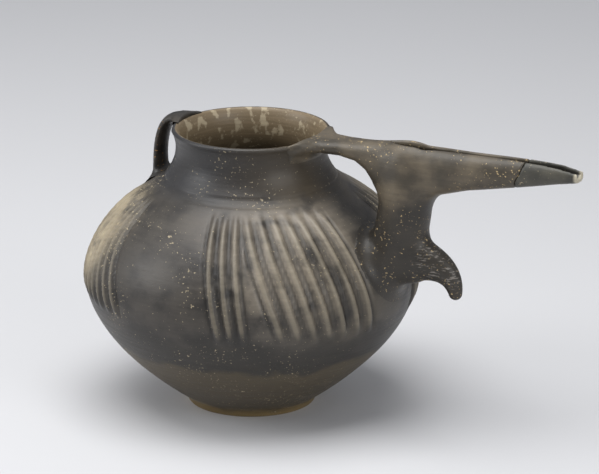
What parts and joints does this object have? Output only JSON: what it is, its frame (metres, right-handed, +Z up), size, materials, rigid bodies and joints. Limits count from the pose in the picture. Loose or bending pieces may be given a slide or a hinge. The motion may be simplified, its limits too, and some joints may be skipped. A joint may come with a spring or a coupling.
{
  "type": "spouted pitcher",
  "caption": "Round-bellied burnished pottery pitcher with ribbed shoulder, strap handle and a long bridged beak spout with a hook below it.",
  "frame": {"origin": "centre of the base disc on the surface it stands on", "axes": "+Z up, +X towards the tip of the spout; the pot is symmetric about the XZ plane"},
  "size_m": [0.3588, 0.2256, 0.1993],
  "materials": {
    "ochre_foot": "matte worn clay",
    "bowl_ware": "burnished olive-brown",
    "olive_ware": "burnished, smoke-dark above, olive-brown below",
    "belly_ware": "burnished grey-black",
    "burnished_ware": "burnished grey-black with tan clouds",
    "neck_ware": "burnished, blue-black to brown",
    "black_ware": "smoke-black burnished",
    "stem_ware": "smoke-dark with worn specks",
    "hook_ware": "smoke-dark with worn scratches",
    "spout_ware": "burnished grey-brown",
    "tip_ware": "burnished green-grey, pale at the chip",
    "bridge_ware": "burnished grey-brown"
  },
  "bodies": {
    "root": {"base_disc": "ochre_foot", "bowl": "bowl_ware", "lower_body": "olive_ware", "belly": "belly_ware", "shoulder": "burnished_ware", "neck": "neck_ware", "handle_strap": "black_ware", "spout_stem": "stem_ware", "spout_hook": "hook_ware", "spout_trough": "spout_ware", "spout_tip": "tip_ware", "spout_bridge": "bridge_ware"}
  },
  "joints": []
}
